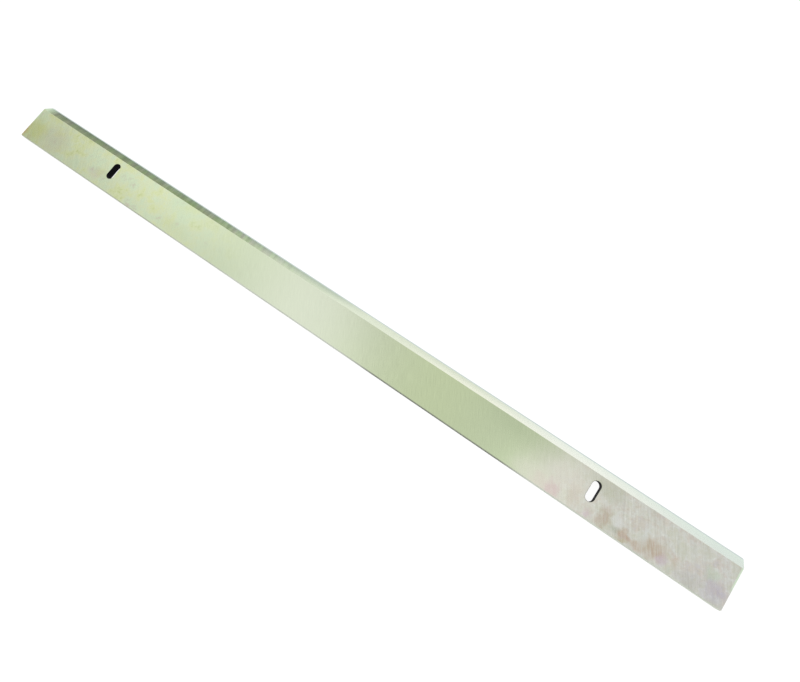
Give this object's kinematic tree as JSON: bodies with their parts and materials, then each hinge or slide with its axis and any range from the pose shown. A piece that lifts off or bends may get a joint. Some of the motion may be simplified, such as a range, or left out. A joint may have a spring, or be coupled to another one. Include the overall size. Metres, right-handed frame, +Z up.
{
  "type": "planer knife",
  "caption": "Long flat ground-steel planer knife with a bevelled and honed cutting edge, square ends and an obround locating slot near each end.",
  "frame": {"origin": "on the flat rake face that the knife lies on, at mid-length and mid-width", "axes": "+X along the knife, +Y across it to the cutting edge, +Z up through the thickness to the bevelled face"},
  "size_m": [0.319, 0.018, 0.0032],
  "materials": {
    "ground_tool_steel": "satin"
  },
  "bodies": {
    "root": {"planer_knife": "ground_tool_steel"}
  },
  "joints": []
}
